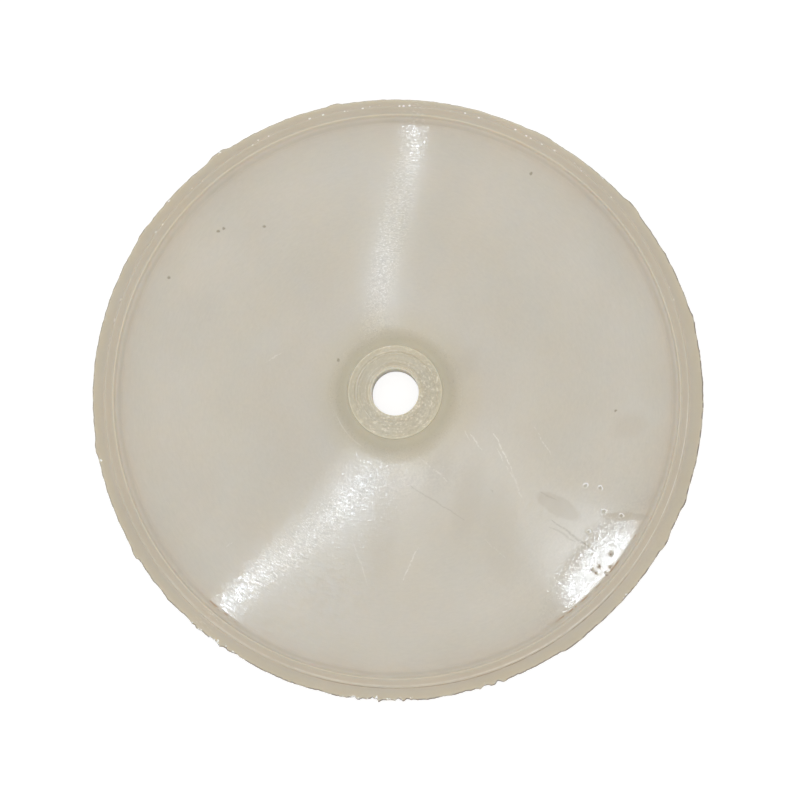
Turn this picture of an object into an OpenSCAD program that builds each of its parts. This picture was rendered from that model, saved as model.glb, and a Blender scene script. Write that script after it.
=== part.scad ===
// Pump diaphragm, cast in one piece from translucent polyurethane and trimmed by hand.
// The origin is on the bore axis in the flat underside, and +Z points out of the boss.
// All lengths are millimetres and all angles are degrees.

/* [Disc] */
// Mean diameter of the trimmed outer edge
outer_d = 108; // [104:0.5:114]
// Height of the boss and of the bead's crown, which are faced off in one cut
face_h = 5; // [4.2:0.1:7]
// Thickness of the thin web that flexes
web_t = 2.5; // [1.6:0.1:3.2]

/* [Hub boss] */
// Diameter of the bore that the clamping screw passes through
bore_d = 8.4; // [6:0.1:9]
// Diameter of the boss at its top
boss_d = 16.8; // [14:0.1:20]
// Radius of the hollow fillet from the boss down to the web
boss_fillet_r = 2.5; // [0.8:0.1:3]
// Radius of the boss's top edge
boss_edge_r = 0.3; // [0.1:0.05:0.6]
// Width of the 45 degree chamfer where the bore meets the boss's top
bore_chamfer = 0.35; // [0.1:0.05:0.7]

/* [Sealing bead] */
// Width of the crown, from its inner wall to the crest line
crown_w = 1.55; // [1.2:0.05:3]
// Radius of the hollow fillet from the web up to the crown
bead_fillet_r = 1.05; // [0.4:0.05:1.8]
// Radius of the crown's inner edge
crown_edge_r = 0.5; // [0.1:0.05:0.8]
// Mean width of the land between the crest line and the trimmed edge
land_w = 2.1; // [1.8:0.05:4]
// Height of the small step from the crown down to the land
land_step = 0.3; // [0.1:0.05:0.8]

/* [Trimmed edge] */
// Distance that the knife's path lies off the bore axis
trim_offset = 0.4; // [0:0.05:0.6]
// Height of the two bulges that make the path slightly oval
trim_oval = 0.3; // [0:0.05:0.4]
// Height of the three bulges on top of the oval
trim_lobe = 0.15; // [0:0.05:0.25]
// Height of the knife's small wander along the clean stretches
trim_wander = 0.05; // [0:0.01:0.1]
// Length of the torn nibs in the ragged stretch
nib_l = 0.5; // [0:0.05:0.8]

/* [Hidden] */
$fn = 96;

outer_r = outer_d / 2;
bore_r = bore_d / 2;
boss_r = boss_d / 2;
crest_r = outer_r - land_w;
crown_inner_r = crest_r - crown_w;
land_h = face_h - land_step;

// A fillet can't be taller than the wall that it runs up
boss_fillet = min(boss_fillet_r, face_h - web_t - boss_edge_r);
bead_fillet = min(bead_fillet_r, face_h - web_t - crown_edge_r);

// Radius to which the untrimmed casting reaches, past every bulge and nib
blank_margin = 1;
blank_r = outer_r + trim_offset + trim_oval + trim_lobe + trim_wander + nib_l + blank_margin;
// Overrun of the cuts past the faces that they leave
overrun = 0.5;

// Directions of the offset and the bulges, anticlockwise from +X
offset_dir = -82;
oval_dir = -8.5;
lobe_dir = 10;

// The knife's path is drawn with this many points
trim_points = 480;
trim_pitch = 360 / trim_points;
trim_seed = 7;
chance = rands(-1, 1, trim_points, trim_seed);

// The casting tore along this stretch, roughest at its middle
tear_mid = 252;
tear_half = 46;

// Single bumps that the knife left: place, half width, and height as a share of nib_l
bump_shares = [
    [13.5, 2, 0.4],
    [38, 2.6, 0.6],
    [60, 2.4, 0.4],
    [102, 1.5, 0.5],
    [126.5, 2.6, 0.9],
    [147.5, 1.8, 0.5],
    [190.5, 1.8, 0.5],
    [212, 1.2, 1],
    [305, 3, 0.6],
    [330.5, 2, 0.5],
    [339, 1.5, 0.5],
];

// Signed angle from b to a, between -180 and 180
function turn(a, b) = (a - b + 540) % 360 - 180;

// Slow part of the knife's path
function path_r(a) =
    outer_r
    + trim_offset * cos(a - offset_dir)
    + trim_oval * cos(2 * (a - oval_dir))
    + trim_lobe * cos(3 * (a - lobe_dir));

// One bump with sloped ends and a flat top
function bump(a, spot) =
    nib_l * spot[2] * min(1, max(0, 2 - 2 * abs(turn(a, spot[0])) / spot[1]));

function bumps(a, i = 0) =
    i == len(bump_shares) ? 0 : max(bump(a, bump_shares[i]), bumps(a, i + 1));

// How torn the edge is at an angle, from 0 to 1
function tear(a) = max(0, 1 - pow(turn(a, tear_mid) / tear_half, 2));

// Nibs stand out where the draw is high, and notches cut in half as far where it is low
function nib(a, draw) = nib_l * tear(a) * (draw > 0 ? pow(draw, 2) : -pow(draw, 2) / 2);

function trim_r(i) =
    let (a = i * trim_pitch)
    path_r(a) + trim_wander * chance[i] + nib(a, chance[i]) + bumps(a);

// Upright bar whose outer top corner is rounded
module rounded_bar(w, h, edge_r) {
    square([w, h - edge_r]);
    square([w - edge_r, h]);
    translate([w - edge_r, h - edge_r]) circle(r = edge_r);
}

// Hollow fillet in a corner that opens to the right and up
module hollow_fillet(r) {
    difference() {
        square(r);
        translate([r, r]) circle(r = r);
    }
}

// Half section of the boss with its foot
module boss_section() {
    rounded_bar(boss_r, face_h, boss_edge_r);
    translate([boss_r, web_t]) hollow_fillet(boss_fillet);
}

// Half section of the bead: crown, inner fillet and outer land
module bead_section() {
    translate([crest_r, 0]) mirror([1, 0]) rounded_bar(crown_w, face_h, crown_edge_r);
    translate([crown_inner_r, web_t]) mirror([1, 0]) hollow_fillet(bead_fillet);
    translate([crown_inner_r + crown_edge_r, 0])
        square([blank_r - crown_inner_r - crown_edge_r, land_h]);
}

// What the bore and its chamfer take out of the half section
module bore_section() {
    translate([0, -overrun]) square([bore_r, face_h + 2 * overrun]);
    polygon([
        [0, face_h - bore_chamfer],
        [bore_r, face_h - bore_chamfer],
        [bore_r + bore_chamfer + overrun, face_h + overrun],
        [0, face_h + overrun],
    ]);
}

// The casting before it is trimmed
module blank() {
    rotate_extrude()
        difference() {
            union() {
                square([crest_r, web_t]);
                boss_section();
                bead_section();
            }
            bore_section();
        }
}

// Everything inside the knife's path
module trimmed_core() {
    translate([0, 0, -overrun])
        linear_extrude(height = face_h + 2 * overrun)
            polygon([
                for (i = [0 : trim_points - 1])
                    trim_r(i) * [cos(i * trim_pitch), sin(i * trim_pitch)]
            ]);
}

module diaphragm() {
    color([0.78, 0.75, 0.68])
        intersection() {
            blank();
            trimmed_core();
        }
}

diaphragm();
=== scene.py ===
"""Dresses the cast polyurethane pump diaphragm and lights it for its portrait.

Lengths in the classes are millimetres, as on the maker's drawing. Meshes are in metres.
"""

import logging
import math
import random
from dataclasses import dataclass, field
from enum import Enum

import bmesh
import bpy
from mathutils import Matrix, Vector, noise

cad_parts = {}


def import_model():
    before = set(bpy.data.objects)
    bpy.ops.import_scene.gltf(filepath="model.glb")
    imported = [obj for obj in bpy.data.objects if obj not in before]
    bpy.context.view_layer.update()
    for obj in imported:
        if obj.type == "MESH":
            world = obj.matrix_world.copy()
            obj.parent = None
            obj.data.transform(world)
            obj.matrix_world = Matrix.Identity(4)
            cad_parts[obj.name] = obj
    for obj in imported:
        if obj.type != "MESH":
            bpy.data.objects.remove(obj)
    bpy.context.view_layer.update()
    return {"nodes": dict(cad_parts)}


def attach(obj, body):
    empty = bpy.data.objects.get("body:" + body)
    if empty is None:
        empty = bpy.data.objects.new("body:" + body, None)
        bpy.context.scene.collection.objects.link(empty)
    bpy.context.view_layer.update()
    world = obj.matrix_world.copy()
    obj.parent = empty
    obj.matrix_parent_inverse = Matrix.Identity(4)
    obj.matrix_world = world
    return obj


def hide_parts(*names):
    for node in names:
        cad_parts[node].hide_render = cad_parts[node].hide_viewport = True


LOG = logging.getLogger("diaphragm")
MM = 0.001

Colour = tuple[float, float, float]
Point2 = tuple[float, float]


def linear(red: float, green: float, blue: float) -> Colour:
    """Turns an 8-bit sRGB colour into linear light.

    Args:
        red: Red from 0 to 255.
        green: Green from 0 to 255.
        blue: Blue from 0 to 255.

    Returns:
        The colour as three linear shares.
    """
    shares = [value / 255 for value in (red, green, blue)]
    return tuple(s / 12.92 if s <= 0.04045 else ((s + 0.055) / 1.055) ** 2.4 for s in shares)


def turn_between(angle: float, middle: float) -> float:
    """Signed turn in degrees from middle to angle, between -180 and 180."""
    return (angle - middle + 540) % 360 - 180


class Shape(Enum):
    """What the mould or wear left at one place of the web."""

    BUBBLE = "bubble"
    PIT = "pit"


class Tone(Enum):
    """Whether a mark on the skin reads lighter or darker than the web."""

    LIGHT = "light"
    DARK = "dark"


@dataclass(frozen=True)
class SkinMark:
    """A small raised or sunk place in the web, in millimetres."""

    at: Point2
    radius: float
    depth: float
    shape: Shape


@dataclass(frozen=True)
class Scratch:
    """A straight scratch in the web, in millimetres."""

    start: Point2
    end: Point2
    width: float
    strength: float
    tone: Tone = Tone.LIGHT


@dataclass(frozen=True)
class Smudge:
    """A soft oval place on the web, in millimetres, used for dull and dark places, stains and places of painted light.
    """

    at: Point2
    half_length: float
    half_width: float
    turn: float
    strength: float
    softness: float = 0.5


class Workbench:
    """Selection and editing helpers that keep Blender's operators on one piece."""

    @staticmethod
    def clear() -> None:
        """Deselects every object."""
        if bpy.context.object and bpy.context.object.mode != "OBJECT":
            bpy.ops.object.mode_set(mode="OBJECT")
        bpy.ops.object.select_all(action="DESELECT")

    @staticmethod
    def pick(piece: bpy.types.Object) -> None:
        """Selects one object and makes it the active one."""
        Workbench.clear()
        piece.select_set(True)
        bpy.context.view_layer.objects.active = piece

    @staticmethod
    def choose(piece: bpy.types.Object, mode: str, test) -> int:
        """Selects the parts of a mesh that pass a test, in edit mode.

        Args:
            piece: The object that is in edit mode.
            mode: VERT, EDGE or FACE.
            test: Called with each part, true where it is to be selected.

        Returns:
            How many parts are selected.
        """
        bpy.ops.mesh.select_mode(type=mode)
        bpy.ops.mesh.select_all(action="DESELECT")
        mesh = bmesh.from_edit_mesh(piece.data)
        parts = {"VERT": mesh.verts, "EDGE": mesh.edges, "FACE": mesh.faces}[mode]
        count = 0
        for part in parts:
            if test(part):
                part.select_set(True)
                count += 1
        mesh.select_flush_mode()
        bmesh.update_edit_mesh(piece.data)
        return count

    @staticmethod
    def spin_section(name: str, points: list[Point2], steps: int) -> bpy.types.Object:
        """Draws a section from one corner by extrusion and spins it round the bore axis.

        Args:
            name: The new object's name.
            points: Radius and height of each corner, in millimetres.
            steps: How many segments the full turn has.

        Returns:
            The spun shell, with its origin at the world's.
        """
        Workbench.clear()
        first = (points[0][0] * MM, 0, points[0][1] * MM)
        bpy.ops.mesh.primitive_plane_add(size=MM, location=first)
        shell = bpy.context.object
        shell.name = shell.data.name = name
        bpy.ops.object.transform_apply(location=True, rotation=True, scale=True)
        bpy.ops.object.mode_set(mode="EDIT")
        bpy.ops.mesh.select_mode(type="VERT")
        bpy.ops.mesh.select_all(action="SELECT")
        bpy.ops.mesh.merge(type="CENTER")
        for before, after in zip(points, points[1:]):
            step = ((after[0] - before[0]) * MM, 0, (after[1] - before[1]) * MM)
            bpy.ops.mesh.extrude_region_move(TRANSFORM_OT_translate={"value": step})
        bpy.ops.object.mode_set(mode="OBJECT")
        bpy.ops.object.modifier_add(type="SCREW")
        lathe = shell.modifiers[-1]
        lathe.axis, lathe.angle, lathe.screw_offset = "Z", math.tau, 0
        lathe.steps = lathe.render_steps = steps
        lathe.use_merge_vertices, lathe.merge_threshold = True, 2e-6
        bpy.ops.object.modifier_apply(modifier=lathe.name)
        return shell


@dataclass
class TrimPath:
    """The outline that the trimming knife left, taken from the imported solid."""

    node: bpy.types.Object
    land_inner_r: float = 52.6
    angles: list[float] = field(default_factory=list)
    radii: list[float] = field(default_factory=list)

    def __post_init__(self) -> None:
        """Reads the outer corners of the solid's land."""
        corners: dict[float, float] = {}
        for vertex in self.node.data.vertices:
            x, y = vertex.co.x / MM, vertex.co.y / MM
            radius = math.hypot(x, y)
            if radius > self.land_inner_r:
                angle = round(math.degrees(math.atan2(y, x)) % 360, 2)
                corners[angle] = max(radius, corners.get(angle, 0))
        for angle in sorted(corners):
            self.angles.append(angle)
            self.radii.append(corners[angle])
        LOG.info("trim path: %d corners, %.2f to %.2f mm", len(self.radii), min(self.radii), max(self.radii))

    def radius(self, angle: float) -> float:
        """Radius of the outline in one direction.

        Args:
            angle: Direction in degrees, anticlockwise from +X.

        Returns:
            The radius in millimetres.
        """
        angle %= 360
        low, high = 0, len(self.angles)
        while low < high:
            middle = (low + high) // 2
            if self.angles[middle] < angle:
                low = middle + 1
            else:
                high = middle
        after = low % len(self.angles)
        before = (low - 1) % len(self.angles)
        span = (self.angles[after] - self.angles[before]) % 360 or 1
        share = ((angle - self.angles[before]) % 360) / span
        return self.radii[before] + (self.radii[after] - self.radii[before]) * share

    def even(self, angle: float) -> float:
        """Radius of the outline evened out over three degrees."""
        return sum(self.radius(angle + step * 0.5) for step in range(-3, 4)) / 7


@dataclass
class Casting:
    """The one-piece diaphragm: boss, web, sealing bead and hand-trimmed land."""

    bore_r: float = 4.2
    bore_chamfer: float = 0.35
    foot_chamfer: float = 0.12
    boss_r: float = 8.4
    boss_edge_r: float = 0.3
    boss_fillet_r: float = 2.2
    face_h: float = 5.0
    web_t: float = 2.5
    crown_inner_r: float = 50.35
    crown_edge_r: float = 0.5
    bead_fillet_r: float = 1.05
    crest_r: float = 51.9
    land_h: float = 4.7
    outer_r: float = 54.0
    hub_end_r: float = 48.3
    rim_start_r: float = 49.0
    hub_steps: int = 300
    rim_steps: int = 1200
    groove_pitch: float = 0.12
    tear_middle: float = 252
    tear_half: float = 46
    fray_w: float = 1.6
    # Middle and half length in degrees of the roughest places in the torn stretch
    worst: tuple[Point2, ...] = ((213, 3), (234.5, 6.5), (267, 8), (291, 8))
    # Middle and half length in degrees of the short places outside the torn stretch that get the painted white glints
    # of the torn edge
    frays: tuple[Point2, ...] = ((99.8, 2.5), (126, 5), (139.5, 3), (46, 2), (193, 4), (318, 3))
    grooves: tuple[tuple[float, float, float, float], ...] = (
        # Radius, depth, middle of the arc and half its length in degrees
        (4.85, 0.08, 110, 110),
        (5.2, 0.06, 75, 60),
        (5.35, 0.05, 300, 120),
        (5.8, 0.035, 40, 90),
        (6.2, 0.045, 200, 100),
        (6.7, 0.06, 140, 80),
        (7.15, 0.08, 110, 120),
        (7.55, 0.04, 330, 140),
        (7.9, 0.045, 120, 110),
    )
    marks: tuple[SkinMark, ...] = (
        SkinMark((33.58, -16.67), 0.42, 0.05, Shape.BUBBLE),
        SkinMark((36.2, -17.0), 0.45, 0.05, Shape.BUBBLE),
        SkinMark((36.85, -21.15), 0.42, 0.05, Shape.BUBBLE),
        SkinMark((39.95, -21.95), 0.42, 0.05, Shape.BUBBLE),
        SkinMark((34.15, -24.8), 0.45, 0.05, Shape.BUBBLE),
        SkinMark((38.01, -28.67), 0.5, 0.12, Shape.PIT),
        SkinMark((40.29, -28.67), 0.42, 0.1, Shape.PIT),
        SkinMark((37.98, -30.95), 0.45, 0.1, Shape.PIT),
        SkinMark((37.09, -32.0), 0.38, 0.08, Shape.PIT),
        SkinMark((35.88, -30.95), 0.4, 0.1, Shape.PIT),
        SkinMark((35.34, -32.0), 0.36, 0.1, Shape.PIT),
        SkinMark((34.82, -31.47), 0.32, 0.08, Shape.PIT),
        SkinMark((-32.2, 0.9), 0.3, 0.04, Shape.PIT),
        SkinMark((17.1, -17.5), 0.3, 0.05, Shape.PIT),
        SkinMark((44.6, -9.0), 0.35, 0.05, Shape.PIT),
    )

    def hub_section(self) -> list[Point2]:
        """Section from the underside round the bore and over the boss to the web."""
        points: list[Point2] = []
        foot = self.bore_r + self.foot_chamfer
        for share in range(14):
            points.append((self.hub_end_r + (foot + 1 - self.hub_end_r) * share / 13, 0.0))
        points += [(foot + 0.3, 0.0), (foot, 0.0), (self.bore_r, self.foot_chamfer)]
        top = self.face_h - self.bore_chamfer
        points += [(self.bore_r, top * share / 4) for share in (1, 2, 3)]
        points += [(self.bore_r, top), (self.bore_r + 0.06, top + 0.08)]
        points += [(self.bore_r + self.bore_chamfer - 0.06, self.face_h - 0.07)]
        start, stop = self.bore_r + self.bore_chamfer, self.boss_r - self.boss_edge_r
        rings = round((stop - start) / self.groove_pitch)
        points += [(start + (stop - start) * i / rings, self.face_h) for i in range(rings + 1)]
        points += self.arc((stop, self.face_h - self.boss_edge_r), self.boss_edge_r, 90, 0, 4)[1:]
        foot_z = self.web_t + self.boss_fillet_r
        points += self.arc((self.boss_r + self.boss_fillet_r, foot_z), self.boss_fillet_r, 180, 270, 12)
        web_start = self.boss_r + self.boss_fillet_r
        rings = 34
        step = (self.hub_end_r - web_start) / rings
        points += [(web_start + step * i, self.web_t) for i in range(1, rings + 1)]
        return points

    def rim_section(self) -> list[Point2]:
        """Section from the web over the bead, down the trimmed edge and back under."""
        points: list[Point2] = [(self.rim_start_r, self.web_t)]
        fillet_x = self.crown_inner_r - self.bead_fillet_r
        points += self.arc((fillet_x, self.web_t + self.bead_fillet_r), self.bead_fillet_r, 270, 360, 7)
        edge_x = self.crown_inner_r + self.crown_edge_r
        edge_z = self.face_h - self.crown_edge_r
        points += [(self.crown_inner_r, 4.05)]
        points += self.arc((edge_x, edge_z), self.crown_edge_r, 180, 90, 5)
        points += [(51.2, self.face_h), (51.6, self.face_h - 0.005), (51.82, self.face_h - 0.015)]
        points += [(self.crest_r + 0.02, self.face_h - 0.09), (self.crest_r + 0.1, self.land_h + 0.03)]
        points += [(self.crest_r + 0.3, self.land_h), (52.7, self.land_h), (53.3, self.land_h)]
        points += [(53.75, self.land_h), (self.outer_r - 0.07, self.land_h - 0.02)]
        points += [(self.outer_r, self.land_h - 0.1)]
        points += [(self.outer_r, height) for height in (4.1, 3.3, 2.4, 1.5, 0.7, 0.2)]
        points += [(self.outer_r - 0.12, 0.0), (52.6, 0.0), (50.5, 0.0), (self.rim_start_r, 0.0)]
        return points

    @staticmethod
    def arc(centre: Point2, radius: float, start: float, stop: float, steps: int) -> list[Point2]:
        """Points on an arc of the section.

        Args:
            centre: Radius and height of the arc's centre.
            radius: The arc's radius.
            start: First angle in degrees.
            stop: Last angle in degrees.
            steps: How many chords it has.

        Returns:
            Its points, both ends included.
        """
        angles = [math.radians(start + (stop - start) * i / steps) for i in range(steps + 1)]
        return [(centre[0] + radius * math.cos(a), centre[1] + radius * math.sin(a)) for a in angles]

    def build(self, path: TrimPath) -> bpy.types.Object:
        """Makes the casting and its marks.

        Args:
            path: The outline that the knife left.

        Returns:
            The finished mesh object.
        """
        hub = Workbench.spin_section("diaphragm_casting", self.hub_section(), self.hub_steps)
        rim = Workbench.spin_section("diaphragm_rim", self.rim_section(), self.rim_steps)
        self.turn_boss_face(hub)
        self.trim(rim, path)
        casting = self.join(hub, rim)
        self.press_marks(casting)
        Workbench.pick(casting)
        bpy.ops.object.shade_smooth_by_angle(angle=math.radians(32))
        LOG.info("casting: %d vertices, %d faces", len(casting.data.vertices), len(casting.data.polygons))
        return casting

    def turn_boss_face(self, hub: bpy.types.Object) -> None:
        """Cuts the turning tool's rings into the boss's face.

        Args:
            hub: The spun hub.
        """
        inner = self.bore_r + self.bore_chamfer
        outer = self.boss_r - self.boss_edge_r
        for vertex in hub.data.vertices:
            x, y, z = (value / MM for value in vertex.co)
            radius = math.hypot(x, y)
            if z < self.face_h - 1e-4 or not inner + 0.02 < radius < outer + 0.02:
                continue
            angle = math.degrees(math.atan2(y, x))
            depth = 0.008 + 0.008 * noise.noise(Vector((x * 0.9, y * 0.9, radius * 4)))
            for ring, cut, middle, half in self.grooves:
                fade = max(0.0, 1 - (abs(turn_between(angle, middle)) / half) ** 4)
                depth += cut * fade * math.exp(-(((radius - ring) / 0.09) ** 2))
            vertex.co.z -= depth * MM

    def stretch(self, angle: float) -> float:
        """How far a direction is inside the torn stretch, from 0 to 1."""
        return max(0.0, 1 - (turn_between(angle, self.tear_middle) / self.tear_half) ** 2)

    def raw(self, angle: float) -> float:
        """How close a direction is to one of the roughest places, from 0 to 1."""
        return max(max(0.0, 1 - abs(turn_between(angle, middle)) / half) for middle, half in self.worst) ** 0.5

    def tear(self, angle: float) -> float:
        """How torn the edge is in one direction, from 0 to 1."""
        return self.stretch(angle) ** 0.5 * (0.22 + 0.78 * self.raw(angle))

    def frayed(self, angle: float) -> float:
        """How strongly the edge takes painted white glints in one direction, from 0 to 1."""
        spots = [max(0.0, 1 - abs(turn_between(angle, middle)) / half) for middle, half in self.frays]
        return max([self.tear(angle) ** 0.5, *spots])

    def trim(self, rim: bpy.types.Object, path: TrimPath) -> None:
        """Fits the land and the outer wall to the knife's path and tears them.

        Args:
            rim: The spun rim.
            path: The outline that the knife left.
        """
        draw = random.Random(21)
        pitch = 360 / self.rim_steps
        for name in ("edge_near", "edge_torn"):
            rim.data.attributes.new(name, "FLOAT", "POINT")
        nears = rim.data.attributes["edge_near"].data
        tears = rim.data.attributes["edge_torn"].data
        nibs = [draw.random() for _ in range(self.rim_steps)]
        burrs = [draw.random() for _ in range(self.rim_steps)]
        for vertex in rim.data.vertices:
            x, y, z = (value / MM for value in vertex.co)
            radius, angle = math.hypot(x, y), math.degrees(math.atan2(y, x)) % 360
            index = round(angle / pitch) % self.rim_steps
            nears[vertex.index].value = max(0.0, 1 - (self.outer_r - radius) / self.fray_w)
            tears[vertex.index].value = nears[vertex.index].value * self.frayed(angle)
            if radius > self.crest_r + 0.35:
                radius, z = self.trimmed(radius, angle, z, path, nibs[index])
            elif radius > self.crest_r - 0.15 and z > self.land_h - 0.2:
                radius, z = self.crested(radius, angle, z, burrs[index])
            turn = math.radians(angle)
            vertex.co = Vector((radius * math.cos(turn), radius * math.sin(turn), z)) * MM

    def trimmed(self, radius: float, angle: float, z: float, path: TrimPath, nib: float) -> Point2:
        """Place of one corner of the land or wall after the knife.

        Args:
            radius: Its radius before, in millimetres.
            angle: Its direction in degrees.
            z: Its height in millimetres.
            path: The outline that the knife left.
            nib: A fixed draw from 0 to 1 for this direction.

        Returns:
            Its new radius and height.
        """
        edge, even = path.radius(angle), path.even(angle)
        edge = even + (edge - even) * (1 - 0.8 * self.stretch(angle) ** 0.3 * (1 - self.raw(angle)))
        share = (radius - self.crest_r) / (self.outer_r - self.crest_r)
        turn = math.radians(angle)
        around = Vector((math.cos(turn), math.sin(turn), 0)) * edge
        torn = self.tear(angle)
        scallop = noise.noise(around * 0.55) * 0.07
        level = noise.noise(around * 1.9 + Vector((0, 0, z * 1.3)))
        edge += scallop - 0.04 + level * (0.03 + 0.07 * torn)
        if torn > 0.1:
            bite = noise.noise(around * 1.15 + Vector((3, 5, 0)))
            edge -= 0.3 * torn * min(1.0, max(0.0, (bite - 0.16) / 0.12))
            edge -= 0.3 * torn * max(0.0, nib - 0.6)
            edge -= 0.2 * torn * max(0.0, noise.noise(around * 3.1 + Vector((7, 0, z * 0.8))))
        if share > 0.95 and z > self.land_h - 0.3:
            z -= 0.12 * torn * nib
        new_radius = self.crest_r + (edge - self.crest_r) * share
        return new_radius, z

    def crested(self, radius: float, angle: float, z: float, burr: float) -> Point2:
        """Place of one corner of the crest line with its burrs.

        Args:
            radius: Its radius before, in millimetres.
            angle: Its direction in degrees.
            z: Its height in millimetres.
            burr: A fixed draw from 0 to 1 for this direction.

        Returns:
            Its new radius and height.
        """
        turn = math.radians(angle)
        around = Vector((math.cos(turn), math.sin(turn), 0)) * self.crest_r
        rough = 0.35 + 0.65 * max(0.0, math.cos(math.radians(turn_between(angle, 88))))
        radius += 0.05 * noise.noise(around * 1.4) + 0.07 * rough * (burr - 0.5)
        if z > self.face_h - 0.2:
            z -= 0.05 * rough * burr
        return radius, min(z, self.face_h)

    def join(self, hub: bpy.types.Object, rim: bpy.types.Object) -> bpy.types.Object:
        """Joins hub and rim into one closed casting.

        Args:
            hub: The spun hub.
            rim: The spun rim.

        Returns:
            The joined object.
        """
        Workbench.clear()
        rim.select_set(True)
        hub.select_set(True)
        bpy.context.view_layer.objects.active = hub
        bpy.ops.object.join()
        bpy.ops.object.mode_set(mode="EDIT")
        low, high = (self.hub_end_r - 0.1) * MM, (self.rim_start_r + 0.1) * MM
        for above in (True, False):
            Workbench.choose(
                hub,
                "EDGE",
                lambda edge: edge.is_boundary
                and all(low < vertex.co.xy.length < high for vertex in edge.verts)
                and (edge.verts[0].co.z > MM) == above,
            )
            bpy.ops.mesh.bridge_edge_loops()
        bpy.ops.mesh.select_all(action="SELECT")
        bpy.ops.mesh.normals_make_consistent(inside=False)
        bpy.ops.object.mode_set(mode="OBJECT")
        return hub

    def press_marks(self, casting: bpy.types.Object) -> None:
        """Raises the burst bubbles and sinks the pits of the web.

        Args:
            casting: The joined casting.
        """
        Workbench.pick(casting)
        bpy.ops.object.mode_set(mode="EDIT")
        low, high = (self.web_t - 0.01) * MM, (self.web_t + 0.01) * MM
        places = [(Vector(mark.at) * MM, (mark.radius * 1.4 + 0.55) * MM) for mark in self.marks]

        def near(face: bmesh.types.BMFace) -> bool:
            """True for a face of the web by a mark."""
            middle = face.calc_center_median()
            return low < middle.z < high and any((middle.xy - at).length < reach for at, reach in places)

        Workbench.choose(casting, "FACE", near)
        bpy.ops.mesh.subdivide(number_cuts=6)
        for mark in self.marks:
            self.press(casting, mark)
        bpy.ops.object.mode_set(mode="OBJECT")

    def press(self, casting: bpy.types.Object, mark: SkinMark) -> None:
        """Shapes one mark by moving the skin round it.

        Args:
            casting: The casting, in edit mode.
            mark: The bubble or pit.
        """
        at = Vector(mark.at) * MM
        low = (self.web_t - 0.3) * MM
        high = (self.web_t + 0.3) * MM
        if mark.shape is Shape.BUBBLE:
            inner, outer, lift, reach = mark.radius * 0.55, mark.radius * 0.85, mark.depth, mark.radius * 0.45
        else:
            inner, outer, lift, reach = -1.0, mark.radius * 0.35, -mark.depth, mark.radius * 0.65
        chosen = Workbench.choose(
            casting,
            "VERT",
            lambda vertex: low < vertex.co.z < high and inner * MM < (vertex.co.xy - at).length < outer * MM,
        )
        if not chosen:
            return
        bpy.ops.transform.translate(
            value=(0, 0, lift * MM),
            use_proportional_edit=True,
            proportional_edit_falloff="SMOOTH",
            proportional_size=reach * MM,
        )


class NodeSheet:
    """A node tree with short calls to add and link its nodes."""

    def __init__(self, tree: bpy.types.NodeTree) -> None:
        """Takes the tree that is to be filled."""
        self.tree = tree

    def add(self, kind: str, inputs: dict | None = None, **settings) -> bpy.types.Node:
        """Adds a node.

        Args:
            kind: The node's type name.
            inputs: Values or sockets by input name or number.
            **settings: Properties of the node.

        Returns:
            The new node.
        """
        node = self.tree.nodes.new(kind)
        for name, value in settings.items():
            setattr(node, name, value)
        for name, value in (inputs or {}).items():
            self.set(node.inputs[name], value)
        return node

    def set(self, socket: bpy.types.NodeSocket, value) -> None:
        """Links a socket into another, or writes a plain value on it."""
        if isinstance(value, bpy.types.NodeSocket):
            self.tree.links.new(value, socket)
        else:
            socket.default_value = value

    def math(self, operation: str, first, second=0.0, clamp: bool = False) -> bpy.types.NodeSocket:
        """Adds a Math node and returns its result."""
        node = self.add("ShaderNodeMath", {0: first, 1: second}, operation=operation, use_clamp=clamp)
        return node.outputs[0]

    def vector(self, operation: str, first, second=(0.0, 0.0, 0.0)) -> bpy.types.Node:
        """Adds a Vector Math node and returns it."""
        return self.add("ShaderNodeVectorMath", {0: first, 1: second}, operation=operation)

    def scaled(self, first, scale) -> bpy.types.NodeSocket:
        """Scales a vector by one number."""
        node = self.add("ShaderNodeVectorMath", {0: first, "Scale": scale}, operation="SCALE")
        return node.outputs[0]

    def span(self, value, low, high, start=0.0, stop=1.0) -> bpy.types.NodeSocket:
        """Maps a value smoothly from one span to another, held at both ends."""
        node = self.add(
            "ShaderNodeMapRange",
            {"Value": value, "From Min": low, "From Max": high, "To Min": start, "To Max": stop},
            interpolation_type="SMOOTHSTEP",
        )
        return node.outputs["Result"]

    def mixed(self, share, first, second, blend: str = "MIX") -> bpy.types.NodeSocket:
        """Mixes two colours by a share and returns the colour."""
        node = self.add("ShaderNodeMix", data_type="RGBA", blend_type=blend, clamp_factor=True)
        self.set(node.inputs[0], share)
        self.set(node.inputs[6], (*first, 1.0) if isinstance(first, tuple) else first)
        self.set(node.inputs[7], (*second, 1.0) if isinstance(second, tuple) else second)
        return node.outputs[2]


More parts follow.
